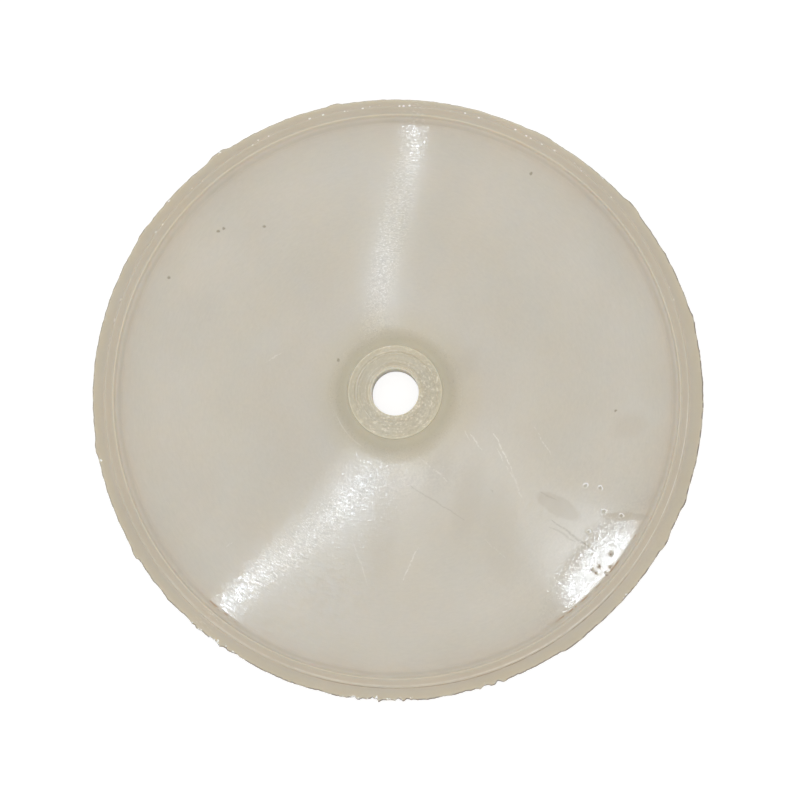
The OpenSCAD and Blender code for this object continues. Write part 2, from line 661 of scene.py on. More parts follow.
class EffectShelf:
    """The shader groups that the finish shares, each built once."""

    def __init__(self) -> None:
        """Builds all groups."""
        self.ring = self.build_ring()
        self.grain = self.build_grain()
        self.stroke = self.build_stroke()
        self.spot = self.build_spot()
        self.cloud = self.build_cloud()
        self.line = self.build_line()

    @staticmethod
    def start(name: str, inputs: dict[str, object], outputs: tuple[str, ...]) -> tuple[NodeSheet, dict, bpy.types.Node]:
        """Opens a new group.

        Args:
            name: The group's name.
            inputs: Input names with their default value. A tuple makes a vector.
            outputs: Names of the value outputs.

        Returns:
            The sheet, the input sockets by name, and the output node.
        """
        tree = bpy.data.node_groups.new(name, "ShaderNodeTree")
        for label, value in inputs.items():
            kind = "NodeSocketVector" if isinstance(value, tuple) else "NodeSocketFloat"
            socket = tree.interface.new_socket(name=label, in_out="INPUT", socket_type=kind)
            socket.default_value = value
        for label in outputs:
            kind = "NodeSocketVector" if label.endswith("Point") else "NodeSocketFloat"
            tree.interface.new_socket(name=label, in_out="OUTPUT", socket_type=kind)
        sheet = NodeSheet(tree)
        entry = sheet.add("NodeGroupInput")
        return sheet, {label: entry.outputs[label] for label in inputs}, sheet.add("NodeGroupOutput")

    def build_ring(self) -> bpy.types.NodeTree:
        """Radius from the bore axis, and a point that is stretched along the turning."""
        inputs = {"Position": (0.0, 0.0, 0.0), "Across": 1.0, "Around": 1.0}
        sheet, given, out = self.start("Turned rings", inputs, ("Radius", "Ring Point"))
        flat = sheet.vector("MULTIPLY", given["Position"], (1.0, 1.0, 0.0)).outputs[0]
        radius = sheet.vector("LENGTH", flat).outputs["Value"]
        way = sheet.scaled(sheet.vector("NORMALIZE", flat).outputs[0], given["Around"])
        rise = sheet.add("ShaderNodeCombineXYZ", {"Z": sheet.math("MULTIPLY", radius, given["Across"])})
        sheet.set(out.inputs["Radius"], radius)
        sheet.set(out.inputs["Ring Point"], sheet.vector("ADD", way, rise.outputs[0]).outputs[0])
        return sheet.tree

    def build_grain(self) -> bpy.types.NodeTree:
        """Fine turning marks that run round the bore axis."""
        inputs = {"Position": (0.0, 0.0, 0.0), "Across": 3.0, "Around": 15.0, "Detail": 2.0}
        sheet, given, out = self.start("Turning marks", inputs, ("Height",))
        ring = sheet.add("ShaderNodeGroup", node_tree=self.ring)
        for label in ("Position", "Across", "Around"):
            sheet.set(ring.inputs[label], given[label])
        texture = sheet.add(
            "ShaderNodeTexNoise",
            {"Vector": ring.outputs["Ring Point"], "Scale": 1.0, "Detail": given["Detail"], "Roughness": 0.6},
        )
        sheet.set(out.inputs["Height"], texture.outputs[0])
        return sheet.tree

    def build_stroke(self) -> bpy.types.NodeTree:
        """Mask of one straight scratch with tapered ends."""
        inputs = {"Position": (0.0, 0.0, 0.0), "Start": (0.0, 0.0, 0.0), "End": (1.0, 0.0, 0.0), "Width": 0.1}
        sheet, given, out = self.start("Scratch stroke", inputs, ("Mask",))
        way = sheet.vector("SUBTRACT", given["End"], given["Start"]).outputs[0]
        here = sheet.vector("SUBTRACT", given["Position"], given["Start"]).outputs[0]
        along = sheet.vector("DOT_PRODUCT", here, way).outputs["Value"]
        whole = sheet.vector("DOT_PRODUCT", way, way).outputs["Value"]
        share = sheet.math("DIVIDE", along, whole, clamp=True)
        gap = sheet.vector("SUBTRACT", here, sheet.scaled(way, share)).outputs[0]
        away = sheet.vector("LENGTH", gap).outputs["Value"]
        middle = sheet.math("MULTIPLY", sheet.math("MULTIPLY", share, sheet.math("SUBTRACT", 1.0, share)), 4.0)
        wide = sheet.math("MULTIPLY", given["Width"], sheet.math("ADD", 0.35, sheet.math("MULTIPLY", middle, 0.65)))
        near = sheet.math("SUBTRACT", 1.0, sheet.math("DIVIDE", away, wide), clamp=True)
        sheet.set(out.inputs["Mask"], near)
        return sheet.tree

    def build_spot(self) -> bpy.types.NodeTree:
        """Mask of one oval place with a soft edge."""
        inputs = {
            "Position": (0.0, 0.0, 0.0),
            "Centre": (0.0, 0.0, 0.0),
            "Half length": 1.0,
            "Half width": 1.0,
            "Turn": 0.0,
            "Edge": 0.5,
        }
        sheet, given, out = self.start("Soft spot", inputs, ("Mask",))
        here = sheet.vector("SUBTRACT", given["Position"], given["Centre"]).outputs[0]
        turned = sheet.add(
            "ShaderNodeVectorRotate", {"Vector": here, "Angle": given["Turn"]}, rotation_type="Z_AXIS", invert=True
        )
        parts = sheet.add("ShaderNodeSeparateXYZ", {0: turned.outputs[0]})
        x = sheet.math("DIVIDE", parts.outputs["X"], given["Half length"])
        y = sheet.math("DIVIDE", parts.outputs["Y"], given["Half width"])
        away = sheet.math("SQRT", sheet.math("ADD", sheet.math("MULTIPLY", x, x), sheet.math("MULTIPLY", y, y)))
        inner = sheet.math("SUBTRACT", 1.0, given["Edge"])
        outer = sheet.math("ADD", 1.0, given["Edge"])
        sheet.set(out.inputs["Mask"], sheet.span(away, outer, inner))
        return sheet.tree

    def build_cloud(self) -> bpy.types.NodeTree:
        """Soft mottling from -1 to 1."""
        inputs = {"Position": (0.0, 0.0, 0.0), "Scale": 0.1, "Detail": 3.0}
        sheet, given, out = self.start("Casting clouds", inputs, ("Value",))
        texture = sheet.add(
            "ShaderNodeTexNoise",
            {"Vector": given["Position"], "Scale": given["Scale"], "Detail": given["Detail"], "Roughness": 0.55},
        )
        centred = sheet.math("SUBTRACT", texture.outputs[0], 0.5)
        sheet.set(out.inputs["Value"], sheet.math("MULTIPLY", centred, 4.0))
        return sheet.tree


    def build_line(self) -> bpy.types.NodeTree:
        """Mask of a thin line that runs round the bore axis."""
        inputs = {"Radius": 0.0, "Middle": 52.0, "Half width": 0.15}
        sheet, given, out = self.start("Ring line", inputs, ("Mask",))
        away = sheet.math("ABSOLUTE", sheet.math("SUBTRACT", given["Radius"], given["Middle"]))
        near = sheet.math("SUBTRACT", 1.0, sheet.math("DIVIDE", away, given["Half width"]), clamp=True)
        sheet.set(out.inputs["Mask"], sheet.span(near, 0.0, 0.8))
        return sheet.tree


@dataclass
class SkinPlace:
    """Where on the disc a point of the skin is, as sockets in millimetres."""

    point: bpy.types.NodeSocket
    flat: bpy.types.NodeSocket
    radius: bpy.types.NodeSocket
    x: bpy.types.NodeSocket
    y: bpy.types.NodeSocket
    z: bpy.types.NodeSocket
    edge: bpy.types.NodeSocket
    torn: bpy.types.NodeSocket
    uneven: bpy.types.NodeSocket
    top: bpy.types.NodeSocket
    web: bpy.types.NodeSocket
    face: bpy.types.NodeSocket

    @staticmethod
    def of(sheet: NodeSheet, shelf: EffectShelf) -> "SkinPlace":
        """Adds the nodes that work out the place.

        Args:
            sheet: The material's sheet.
            shelf: The shared shader groups.

        Returns:
            The place's sockets.
        """
        point = sheet.scaled(sheet.add("ShaderNodeTexCoord").outputs["Object"], 1 / MM)
        flat = sheet.vector("MULTIPLY", point, (1.0, 1.0, 0.0)).outputs[0]
        ring = sheet.add("ShaderNodeGroup", {"Position": point}, node_tree=shelf.ring)
        parts = sheet.add("ShaderNodeSeparateXYZ", {0: point}).outputs
        edge = sheet.add("ShaderNodeAttribute", attribute_name="edge_near").outputs["Fac"]
        torn = sheet.add("ShaderNodeAttribute", attribute_name="edge_torn").outputs["Fac"]
        wander = sheet.add("ShaderNodeTexNoise", {"Vector": flat, "Scale": 0.7, "Detail": 4.0, "Roughness": 0.6})
        shift = sheet.vector("SUBTRACT", wander.outputs[1], (0.5, 0.5, 0.5)).outputs[0]
        uneven = sheet.vector("ADD", flat, sheet.scaled(shift, 1.0)).outputs[0]
        uneven = sheet.vector("MULTIPLY", uneven, (1.0, 1.0, 0.0)).outputs[0]
        radius = ring.outputs["Radius"]
        top = sheet.span(parts["Z"], 0.1, 0.6)
        web = sheet.math("MULTIPLY", sheet.span(radius, 49.5, 49.2), sheet.span(radius, 9.2, 10.2))
        web = sheet.math("MULTIPLY", web, top)
        face = sheet.math("MULTIPLY", sheet.span(radius, 8.3, 8.1), top)
        place = (point, flat, radius, parts["X"], parts["Y"], parts["Z"], edge, torn, uneven, top, web, face)
        return SkinPlace(*place)


@dataclass(frozen=True)
class CastUrethane:
    """Milky beige polyurethane, yellower where it is thick, with a turned sheen and painted light and shade in its
    colour.
    """

    tones: tuple[tuple[float, Colour], ...] = (
        # Radius in millimetres and the colour there: yellower where it is thick, with painted light on the bore wall,
        # the top of the boss's fillet and the bead's fillet and inner wall, and a painted highlight line along the
        # crest
        # Painted light: the bore wall is made much lighter against its shade
        (4.2, (244, 238, 222)),
        (4.35, (202, 194, 174)),
        (4.9, (194, 186, 166)),
        (7.0, (198, 190, 169)),
        (7.9, (193, 186, 166)),
        (8.1, (190, 183, 163)),
        (8.3, (194, 187, 167)),
        # Painted light on the top of the boss's fillet against its shade
        (8.5, (209, 202, 182)),
        (9.6, (200, 192, 170)),
        (10.6, (199, 191, 172)),
        (12.4, (204, 197, 181)),
        (16.0, (205, 199, 187)),
        (30.0, (205, 199, 186)),
        (42.0, (207, 201, 189)),
        (46.0, (206, 200, 187)),
        (48.0, (207, 200, 187)),
        # Painted light on the bead's fillet and inner wall against their shade, lightest on the wall
        (49.2, (211, 202, 187)),
        (49.7, (210, 201, 184)),
        (50.1, (219, 210, 194)),
        (50.3, (233, 225, 209)),
        (50.42, (206, 198, 182)),
        (50.5, (183, 175, 161)),
        (50.75, (186, 178, 163)),
        (51.0, (191, 182, 166)),
        (51.8, (192, 183, 166)),
        # Painted highlight line along the crest
        (52.05, (208, 199, 182)),
        (52.35, (197, 188, 171)),
        (53.0, (196, 187, 168)),
        (54.4, (193, 184, 166)),
    )
    scratches: tuple[Scratch, ...] = (
        Scratch((13.1, -6.82), (15.4, -10.22), 0.2, 0.6),
        Scratch((17.37, -6.83), (20.7, -13.79), 0.22, 0.75),
        Scratch((24.66, -5.97), (27.62, -11.15), 0.2, 0.55),
        Scratch((3.84, -11.07), (9.52, -15.89), 0.2, 0.4),
        Scratch((0.81, -15.52), (12.33, -22.64), 0.22, 0.35, Tone.DARK),
        Scratch((4.0, -27.4), (1.16, -33.56), 0.22, 0.6),
        Scratch((-7.71, -25.97), (-4.85, -33.91), 0.2, 0.35),
        Scratch((-30.32, -27.36), (-28.9, -26.65), 0.25, 0.4),
        Scratch((-18.72, -28.43), (-15.34, -29.5), 0.25, 0.5, Tone.DARK),
        Scratch((-23.45, 5.58), (-20.04, 7.55), 0.18, 0.45),
        Scratch((27.52, -22.67), (35.38, -28.31), 0.35, 0.55, Tone.DARK),
        Scratch((20.7, -13.79), (22.26, -18.76), 0.25, 0.35),
        Scratch((18.06, -9.87), (19.11, -12.36), 0.2, 0.5),
        Scratch((19.46, -12.9), (21.39, -15.57), 0.22, 0.4),
        Scratch((25.62, -17.71), (28.43, -19.13), 0.25, 0.35, Tone.DARK),
        Scratch((15.85, -26.18), (19.54, -29.35), 0.18, 0.3),
        Scratch((12.21, -6.63), (13.27, -8.6), 0.18, 0.45),
        Scratch((27.16, -23.9), (31.71, -26.37), 0.3, 0.4, Tone.DARK),
    )
    smudges: tuple[Smudge, ...] = (
        Smudge((28.8, -20.2), 4.2, 1.6, -28, 0.8, 0.15),
        Smudge((40.4, -22.1), 4.0, 0.75, 0, 0.8, 0.2),
        Smudge((13.0, -19.0), 2.4, 7.0, -12, 0.35),
        Smudge((18.5, -25.0), 3.0, 8.0, 5, 0.3),
        Smudge((41.5, -6.0), 3.0, 2.0, 20, 0.35),
        Smudge((12.0, 4.5), 1.8, 4.5, -35, 0.3),
        Smudge((-2.2, -25.5), 2.2, 8.5, -6, 0.32),
        Smudge((7.5, -14.8), 2.0, 5.0, -22, 0.3),
    )
    # The two radial streaks of the lamps: painted sparkle highlights, where the turned arcs and hairs are painted
    # lighter and darker and the brightest hairs near white
    lamp_streak_bands: tuple[Smudge, ...] = (
        Smudge((-0.3, 31.0), 20.5, 2.4, 78.4, 0.85, 0.55),
        Smudge((-17.0, -26.4), 19.5, 2.9, 41.1, 1.0, 0.55),
    )
    # Places round the boss where the lamps' streaks meet it, painted with light and dark grains: painted sparkle
    # highlights
    sparkle_spots: tuple[Smudge, ...] = (
        Smudge((-0.5, -15.0), 12.0, 4.2, 4, 0.08, 0.5),
        Smudge((-3.0, 12.2), 3.2, 2.2, 0, 0.09, 0.5),
    )
    specks: tuple[Point2, ...] = (
        (-10.31, 6.05),
        (-23.83, 30.59),
        (-41.0, 21.36),
        (24.48, 39.73),
        (-32.19, 29.74),
        (-31.1, 30.1),
        (39.2, -3.3),
    )
    # Middle, half width, direction and half length of the light lines that run round the axis: painted highlights on
    # the boss's turning marks and edge, on the fillet beside it and along the crest
    rings: tuple[tuple[float, float, float, float, float], ...] = (
        (8.2, 0.12, 100, 6, 0.6),
        (7.3, 0.14, 102, 18, 0.5),
        (4.75, 0.12, 180, 60, 0.35),
        (5.3, 0.1, 160, 50, 0.3),
        (6.9, 0.12, 165, 30, 0.35),
        (6.3, 0.12, 215, 25, 0.45),
        (8.25, 0.1, 90, 181, 0.06),
        (11.2, 0.14, 219, 22, 0.35),
        (51.7, 0.09, 326, 42, 0.5),
        (51.6, 0.2, 265, 60, 0.25),
    )
    # The same with a colour for the darker lines: on the bead's wall at the front it holds back the wall's painted
    # light, and along the crest it is brownish, partly painted shadow of the crest's step
    painted_shade_lines: tuple[tuple[float, float, float, float, float, Colour], ...] = (
        (50.28, 0.3, 272, 78, 0.6, (212, 204, 188)),
        (52.04, 0.11, 288, 42, 0.6, (150, 128, 102)),
    )
    # Brownish pits in the wet lens
    stains: tuple[Point2, ...] = (
        (38.0, -28.7),
        (35.85, -30.95),
        (35.4, -31.95),
        (37.95, -31.05),
        (34.65, -30.7),
        (34.4, -31.6),
        (37.2, -32.4),
    )
    bubbles: tuple[Point2, ...] = ()
    # Dark of the specks and the dark scratches, and of the painted shade in the bubbles' hollows
    dark: Colour = (150, 140, 118)
    rust: Colour = (140, 112, 84)
    # Pale of the light scratches and of the painted highlight lines round the axis
    pale: Colour = (236, 232, 224)
    roughness: float = 0.086
    anisotropy: float = 1.0

    def build(self, shelf: EffectShelf) -> bpy.types.Material:
        """Makes the material.

        Args:
            shelf: The shared shader groups.

        Returns:
            The finished material.
        """
        material = bpy.data.materials.new("cast_polyurethane")
        material.use_nodes = True
        sheet = NodeSheet(material.node_tree)
        sheet.tree.nodes.clear()
        place = SkinPlace.of(sheet, shelf)
        wet, dull = self.wet_lens(sheet, shelf, place)
        lines, dents = self.strokes(sheet, shelf, place)
        shader = sheet.add("ShaderNodeBsdfPrincipled")
        sheet.set(shader.inputs["Base Color"], self.colour(sheet, shelf, place, lines, dents, dull))
        sheet.set(shader.inputs["Roughness"], self.gloss(sheet, shelf, place, wet, dull, lines))
        sheet.set(shader.inputs["Normal"], self.relief(sheet, shelf, place, wet))
        sheet.set(shader.inputs["Tangent"], self.turning(sheet, place))
        shader.inputs["Anisotropic"].default_value = self.anisotropy
        shader.inputs["Anisotropic Rotation"].default_value = 0.25
        shader.inputs["IOR"].default_value = 1.5
        shader.inputs["Subsurface Weight"].default_value = 1.0
        shader.inputs["Subsurface Radius"].default_value = (1.0, 0.85, 0.65)
        shader.inputs["Subsurface Scale"].default_value = 0.0025
        sheet.add("ShaderNodeOutputMaterial", {"Surface": shader.outputs[0]})
        LOG.info("finish: %d nodes", len(sheet.tree.nodes))
        return material

    @staticmethod
    def turning(sheet: NodeSheet, place: SkinPlace) -> bpy.types.NodeSocket:
        """Direction in which the turning tool ran round the axis."""
        return sheet.vector("NORMALIZE", sheet.vector("CROSS_PRODUCT", (0.0, 0.0, 1.0), place.flat).outputs[0]).outputs[0]

    @staticmethod
    def wet_lens(
        sheet: NodeSheet, shelf: EffectShelf, place: SkinPlace
    ) -> tuple[bpy.types.NodeSocket, bpy.types.NodeSocket]:
        """Masks of the wet-looking lens of smoother skin by the bead.

        Args:
            sheet: The material's sheet.
            shelf: The shared shader groups.
            place: Where on the disc the skin is.

        Returns:
            The smooth granules, and the dull skin between them.
        """
        spot = sheet.add(
            "ShaderNodeGroup",
            {
                "Position": place.uneven,
                "Centre": (37.3, -31.4, 0.0),
                "Half length": 11.5,
                "Half width": 4.8,
                "Turn": math.radians(48.5),
                "Edge": 0.75,
            },
            node_tree=shelf.spot,
        )
        field = sheet.math("MULTIPLY", spot.outputs["Mask"], place.web)
        granules = sheet.add(
            "ShaderNodeTexNoise", {"Vector": place.point, "Scale": 2.6, "Detail": 2.0, "Roughness": 0.6}
        )
        border = sheet.math("MULTIPLY", sheet.span(field, 0.0, 0.12), sheet.span(field, 0.75, 0.35))
        rough = sheet.math("MULTIPLY", sheet.math("SUBTRACT", granules.outputs[0], 0.5), border)
        level = sheet.math("ADD", granules.outputs[0], sheet.math("MULTIPLY", rough, 0.9))
        level = sheet.math("ADD", level, sheet.math("MULTIPLY", field, 0.32))
        wet = sheet.math("MULTIPLY", sheet.span(level, 0.59, 0.65), place.web)
        near = sheet.span(field, 0.0, 0.35)
        return wet, sheet.math("MULTIPLY", near, sheet.math("SUBTRACT", 1.0, wet))

    def strokes(
        self, sheet: NodeSheet, shelf: EffectShelf, place: SkinPlace
    ) -> tuple[bpy.types.NodeSocket, bpy.types.NodeSocket]:
        """Masks of the light and the dark scratches.

        Args:
            sheet: The material's sheet.
            shelf: The shared shader groups.
            place: Where on the disc the skin is.

        Returns:
            The light mask and the dark mask.
        """
        wander = sheet.add("ShaderNodeTexNoise", {"Vector": place.flat, "Scale": 0.5, "Detail": 3.0})
        shift = sheet.vector("SUBTRACT", wander.outputs[1], (0.5, 0.5, 0.5)).outputs[0]
        hand = sheet.vector("ADD", place.flat, sheet.scaled(shift, 0.9)).outputs[0]
        hand = sheet.vector("MULTIPLY", hand, (1.0, 1.0, 0.0)).outputs[0]
        masks: dict[Tone, bpy.types.NodeSocket | float] = {Tone.LIGHT: 0.0, Tone.DARK: 0.0}
        for scratch in self.scratches:
            stroke = sheet.add(
                "ShaderNodeGroup",
                {
                    "Position": hand,
                    "Start": (*scratch.start, 0.0),
                    "End": (*scratch.end, 0.0),
                    "Width": scratch.width,
                },
                node_tree=shelf.stroke,
            )
            strength = sheet.math("MULTIPLY", stroke.outputs[0], scratch.strength)
            masks[scratch.tone] = sheet.math("MAXIMUM", masks[scratch.tone], strength)
        breaks = sheet.add("ShaderNodeTexNoise", {"Vector": place.flat, "Scale": 2.2, "Detail": 2.0})
        kept = sheet.math("MULTIPLY", sheet.span(breaks.outputs[0], 0.36, 0.56), place.top)
        worn = sheet.math("MULTIPLY", sheet.span(breaks.outputs[0], 0.3, 0.5, 0.35, 0.75), place.top)
        return sheet.math("MULTIPLY", masks[Tone.LIGHT], kept), sheet.math("MULTIPLY", masks[Tone.DARK], worn)

    def colour(
        self,
        sheet: NodeSheet,
        shelf: EffectShelf,
        place: SkinPlace,
        lines: bpy.types.NodeSocket,
        dents: bpy.types.NodeSocket,
        dull: bpy.types.NodeSocket,
    ) -> bpy.types.NodeSocket:
        """Colour by thickness, with clouds, smudges, specks and scratches, and with painted highlights, sparkle, shade
        and shadow.

        Args:
            sheet: The material's sheet.
            shelf: The shared shader groups.
            place: Where on the disc the skin is.
            lines: Mask of the light scratches.
            dents: Mask of the dark scratches.
            dull: Mask of the dull skin in the wet lens.

        Returns:
            The base colour.
        """
        cloud = sheet.add("ShaderNodeGroup", {"Position": place.point, "Scale": 0.07}, node_tree=shelf.cloud)
        reach = self.tones[-1][0]
        ramp = sheet.add("ShaderNodeValToRGB", {0: sheet.math("DIVIDE", place.radius, reach)})
        stops = ramp.color_ramp.elements
        stops[0].position = self.tones[0][0] / reach
        stops[1].position = 1.0
        for at, _ in self.tones[1:-1]:
            stops.new(at / reach)
        for stop, (_, tone) in zip(stops, self.tones):
            stop.color = (*linear(*tone), 1.0)
        colour = sheet.mixed(place.top, self.underside(sheet, place), ramp.outputs[0])
        fine = sheet.add(
            "ShaderNodeGroup", {"Position": place.point, "Scale": 1.6, "Detail": 4.0}, node_tree=shelf.cloud
        )
        shade = sheet.math("ADD", 1.0, sheet.math("MULTIPLY", cloud.outputs[0], 0.03))
        shade = sheet.math("ADD", shade, sheet.math("MULTIPLY", fine.outputs[0], 0.014))
        # Painted sparkle: in the lamps' streaks the turned arcs and hairs are painted lighter and darker
        arcs = sheet.math("SUBTRACT", self.arcs(sheet, shelf, place), 0.5)
        band = self.oval(sheet, shelf, place, self.lamp_streak_bands[0])
        band = sheet.math("MAXIMUM", band, self.oval(sheet, shelf, place, self.lamp_streak_bands[1]))
        shade = sheet.math("ADD", shade, sheet.math("MULTIPLY", arcs, sheet.span(band, 0.0, 1.0, 0.09, 0.4)))
        hair = sheet.add(
            "ShaderNodeGroup", {"Position": place.point, "Across": 5.0, "Around": 70.0}, node_tree=shelf.grain
        ).outputs[0]
        hairs = sheet.math("MULTIPLY", sheet.math("SUBTRACT", hair, 0.5), band)
        shade = sheet.math("ADD", shade, sheet.math("MULTIPLY", hairs, 0.5))
        shade = sheet.math("SUBTRACT", shade, sheet.math("MULTIPLY", dull, 0.07))
        # Painted sparkle: fine light and dark grains by the wet lens and where the lamps' streaks meet the boss
        sparkle_grain = sheet.add(
            "ShaderNodeGroup", {"Position": place.point, "Scale": 2.6, "Detail": 2.0}, node_tree=shelf.cloud
        )
        sparkle_grain_places = self.oval(sheet, shelf, place, Smudge((33.0, -25.0), 20.0, 13.0, 40, 0.03, 0.6))
        for sparkle_spots in self.sparkle_spots:
            sparkle_grain_places = sheet.math("MAXIMUM", sparkle_grain_places, self.oval(sheet, shelf, place, sparkle_spots))
        shade = sheet.math("ADD", shade, sheet.math("MULTIPLY", sparkle_grain.outputs[0], sparkle_grain_places))
        drift = sheet.add("ShaderNodeGroup", {"Position": place.point, "Scale": 0.11, "Detail": 2.0}, node_tree=shelf.cloud)
        warm = sheet.math("MULTIPLY", shade, sheet.math("ADD", 1.0, sheet.math("MULTIPLY", drift.outputs[0], 0.014)))
        cold = sheet.math("MULTIPLY", shade, sheet.math("SUBTRACT", 1.0, sheet.math("MULTIPLY", drift.outputs[0], 0.02)))
        grey = sheet.add("ShaderNodeCombineColor", {0: warm, 1: shade, 2: cold})
        colour = sheet.mixed(1.0, colour, grey.outputs[0], "MULTIPLY")
        knife = self.knife_lines(sheet, place)
        cut = sheet.add("ShaderNodeCombineColor", {0: knife, 1: knife, 2: knife})
        colour = sheet.mixed(1.0, colour, cut.outputs[0], "MULTIPLY")
        # Painted highlights: the brightest hairs in the lamps' streaks are painted near white
        glints = sheet.math("MULTIPLY", sheet.span(hair, 0.55, 0.66), sheet.math("MULTIPLY", band, 0.45))
        colour = sheet.mixed(glints, colour, (0.95, 0.95, 0.94))
        for smudge in self.smudges:
            colour = sheet.mixed(self.oval(sheet, shelf, place, smudge), colour, linear(196, 188, 173))
        for speck in self.specks:
            mask = self.oval(sheet, shelf, place, Smudge(speck, 0.3, 0.25, 30, 0.75))
            colour = sheet.mixed(mask, colour, linear(*self.dark))
        for stain in self.stains:
            mask = self.oval(sheet, shelf, place, Smudge(stain, 0.22, 0.14, 40, 0.6, 0.6))
            colour = sheet.mixed(mask, colour, linear(*self.rust))
        # Painted highlight lines round the axis
        for ring in self.rings:
            colour = sheet.mixed(self.ring_line(sheet, shelf, place, *ring), colour, linear(*self.pale))
        # Painted shade lines: less painted light on the bead's wall at the front, and a brownish line that is partly
        # painted shadow under the crest's step
        for *ring, tone in self.painted_shade_lines:
            colour = sheet.mixed(self.ring_line(sheet, shelf, place, *ring), colour, linear(*tone))
        # Painted shade in the hollows of the burst bubbles
        for bubble in self.bubbles:
            hollow_shade = self.oval(sheet, shelf, place, Smudge(bubble, 0.3, 0.3, 0, 0.3))
            colour = sheet.mixed(hollow_shade, colour, linear(*self.dark))
        colour = sheet.mixed(dents, colour, linear(*self.dark))
        colour = sheet.mixed(lines, colour, linear(*self.pale))
        # Painted highlights on the lit side of the bubbles' rims
        colour = sheet.mixed(self.bubble_rim_highlights(sheet, shelf, place), colour, (0.93, 0.92, 0.9))
        # Light specks on the boss's face are partly painted sparkle highlights
        light, dark = self.face_specks(sheet, shelf, place)
        colour = sheet.mixed(light, colour, linear(224, 217, 200))
        colour = sheet.mixed(dark, colour, linear(172, 164, 144))
        rust = self.rust_line(sheet, shelf, place)
        colour = sheet.mixed(rust, colour, linear(182, 140, 96))
        # Painted glints on the torn edge
        colour = sheet.mixed(self.torn_edge_glints(sheet, place), colour, (0.95, 0.93, 0.9))
        # Painted shadow line along the trimmed edge
        colour = sheet.mixed(self.edge_shadow_line(sheet, place), colour, linear(104, 96, 88))
        # Painted glints on the crest's burrs
        return sheet.mixed(self.burrs(sheet, shelf, place), colour, (1.0, 0.98, 0.95))

    @staticmethod
    def underside(sheet: NodeSheet, place: SkinPlace) -> bpy.types.NodeSocket:
        """Plain colour of the flat underside, where bead and boss show through softly."""
        thick = sheet.math("ADD", sheet.span(place.radius, 47.5, 51.5), sheet.span(place.radius, 12.0, 7.0))
        return sheet.mixed(thick, linear(204, 197, 183), linear(195, 187, 168))

    def rust_line(self, sheet: NodeSheet, shelf: EffectShelf, place: SkinPlace) -> bpy.types.NodeSocket:
        """Mask of the thin brownish line where the web meets the bead."""
        line = sheet.add(
            "ShaderNodeGroup", {"Radius": place.radius, "Middle": 49.4, "Half width": 0.2}, node_tree=shelf.line
        )
        parts = sheet.add("ShaderNodeTexNoise", {"Vector": place.flat, "Scale": 0.5, "Detail": 3.0})
        some = sheet.math("MULTIPLY", sheet.span(parts.outputs[0], 0.45, 0.6, 0.0, 0.65), place.top)
        sides = sheet.math("ADD", self.facing(sheet, place, 319, 17), self.facing(sheet, place, 231, 7), clamp=True)
        return sheet.math("MULTIPLY", sheet.math("MULTIPLY", line.outputs["Mask"], some), sides)

    def bubble_rim_highlights(
        self, sheet: NodeSheet, shelf: EffectShelf, place: SkinPlace
    ) -> bpy.types.NodeSocket:
        """Mask of the painted highlights on the lit side of the burst bubbles' rims.

        Args:
            sheet: The material's sheet.
            shelf: The shared shader groups.
            place: Where on the disc the skin is.

        Returns:
            The mask.
        """
        whole: bpy.types.NodeSocket | float = 0.0
        for bubble in self.bubbles:
            here = sheet.vector("SUBTRACT", place.uneven, (*bubble, 0.0)).outputs[0]
            away = sheet.vector("LENGTH", here).outputs["Value"]
            rim = sheet.add(
                "ShaderNodeGroup", {"Radius": away, "Middle": 0.4, "Half width": 0.2}, node_tree=shelf.line
            )
            way = sheet.vector("NORMALIZE", here).outputs[0]
            side = sheet.vector("DOT_PRODUCT", way, (0.6, 0.8, 0.0)).outputs["Value"]
            lit = sheet.math("MULTIPLY", rim.outputs["Mask"], sheet.span(side, -0.7, 0.6, 0.1, 0.75))
            whole = sheet.math("MAXIMUM", whole, lit)
        return sheet.math("MULTIPLY", whole, place.top)

    @staticmethod
    def oval(sheet: NodeSheet, shelf: EffectShelf, place: SkinPlace, smudge: Smudge) -> bpy.types.NodeSocket:
        """Mask of one smudge."""
        spot = sheet.add(
            "ShaderNodeGroup",
            {
                "Position": place.uneven,
                "Centre": (*smudge.at, 0.0),
                "Half length": smudge.half_length,
                "Half width": smudge.half_width,
                "Turn": math.radians(smudge.turn),
                "Edge": smudge.softness,
            },
            node_tree=shelf.spot,
        )
        mask = sheet.math("MULTIPLY", spot.outputs["Mask"], smudge.strength)
        return sheet.math("MULTIPLY", mask, place.top)

    @staticmethod
    def facing(sheet: NodeSheet, place: SkinPlace, middle: float, half: float) -> bpy.types.NodeSocket:
        """Mask of the sector round one direction, from the middle out to half its angle."""
        toward = (math.cos(math.radians(middle)), math.sin(math.radians(middle)), 0.0)
        way = sheet.vector("NORMALIZE", place.flat).outputs[0]
        match = sheet.vector("DOT_PRODUCT", way, toward).outputs["Value"]
        return sheet.span(match, math.cos(math.radians(min(half, 180))), math.cos(math.radians(half * 0.6)))

